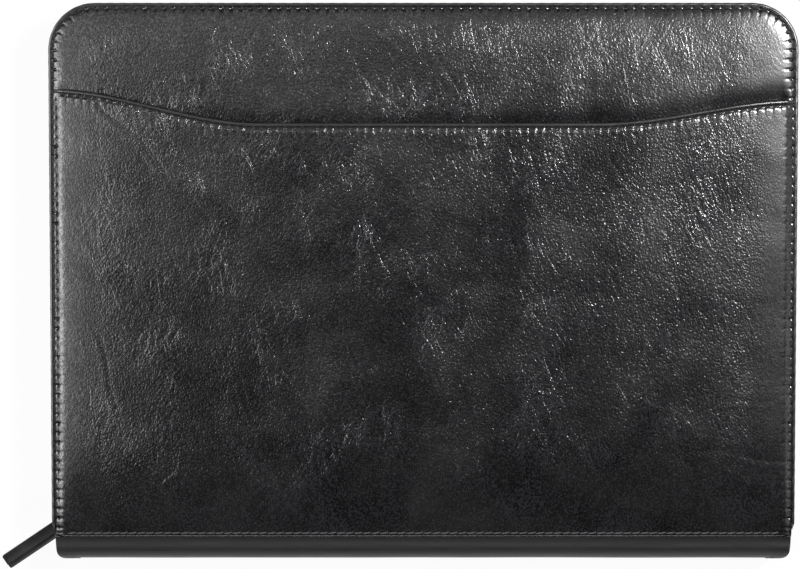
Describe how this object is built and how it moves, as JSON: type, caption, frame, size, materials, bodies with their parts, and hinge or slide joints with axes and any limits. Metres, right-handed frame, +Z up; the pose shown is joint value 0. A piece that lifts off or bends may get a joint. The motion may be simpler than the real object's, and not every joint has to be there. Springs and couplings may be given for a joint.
{
  "type": "zippered padfolio",
  "caption": "Black leather-look zip-around padfolio with a curved patch pocket, opening flat on its spine strip to a writing pad, pen loop and inner pockets.",
  "frame": {"origin": "middle of the back cover's resting face, on the surface it lies on", "axes": "+X along the spine, away from the zip pull; +Y from the spine to the fore edge; +Z up"},
  "size_m": [0.3677, 0.2617, 0.0269],
  "materials": {
    "leather_black": "pebbled",
    "lining_black": "woven",
    "foam_grey": "open cell",
    "board_grey": "greyboard",
    "tape_black": "herringbone",
    "zip_metal": "black enamel",
    "teeth_black": "moulded",
    "paper_white": "paper",
    "elastic_black": "elastic weave",
    "vinyl_clear": "clear film"
  },
  "bodies": {
    "back_cover": {"back_skin": "leather_black", "back_foam": "foam_grey", "back_board": "board_grey", "back_lining": "lining_black", "back_edge_piping": "leather_black", "back_zip_gusset": "lining_black", "zip_tape_back": "tape_black", "zip_chain_back": "teeth_black", "zip_stops_back": "zip_metal", "pad_sleeve": "leather_black", "pad_backing_board": "board_grey", "pad_sheets": "paper_white", "pad_binding_strip": "lining_black", "pen_loop": "elastic_black"},
    "front_cover": {"front_skin": "leather_black", "front_foam": "foam_grey", "front_board": "board_grey", "front_lining": "lining_black", "front_edge_piping": "leather_black", "front_pocket_panel": "leather_black", "pocket_mouth_hem": "leather_black", "front_zip_gusset": "lining_black", "zip_tape_front": "tape_black", "zip_chain_front": "teeth_black", "zip_stops_front": "zip_metal", "document_pocket_gusset": "lining_black", "document_pocket_panel": "leather_black", "card_pocket_upper": "leather_black", "card_pocket_middle": "leather_black", "card_pocket_lower": "leather_black", "id_window": "vinyl_clear", "id_window_frame": "leather_black"},
    "spine": {"spine_skin": "leather_black", "spine_lining": "lining_black", "spine_end_hems": "leather_black"},
    "zip_slider": {"slider_body": "zip_metal", "slider_crown": "zip_metal"},
    "zip_pull": {"pull_ring": "zip_metal", "pull_strap": "leather_black", "pull_eyelet": "zip_metal"}
  },
  "joints": [
    {"name": "spine_fold", "type": "hinge", "parent": "back_cover", "child": "spine", "pos_m": [0, -0.12275, 0.001], "axis": [1, 0, 0], "range_deg": [0, 90]},
    {"name": "cover_fold", "type": "hinge", "parent": "spine", "child": "front_cover", "pos_m": [0, -0.12275, 0.0254], "axis": [1, 0, 0], "range_deg": [0, 90]},
    {"name": "slider_run", "type": "slide", "parent": "back_cover", "child": "zip_slider", "axis": [0, 1, 0], "range_m": [0, 0.21]},
    {"name": "pull_swing", "type": "hinge", "parent": "zip_slider", "child": "zip_pull", "pos_m": [-0.1639, -0.11575, 0.0127], "axis": [0, 0, 1], "range_deg": [-94, 26]}
  ],
  "couplings": [
    {"joint": "cover_fold", "follows": "spine_fold", "ratio": 1}
  ]
}
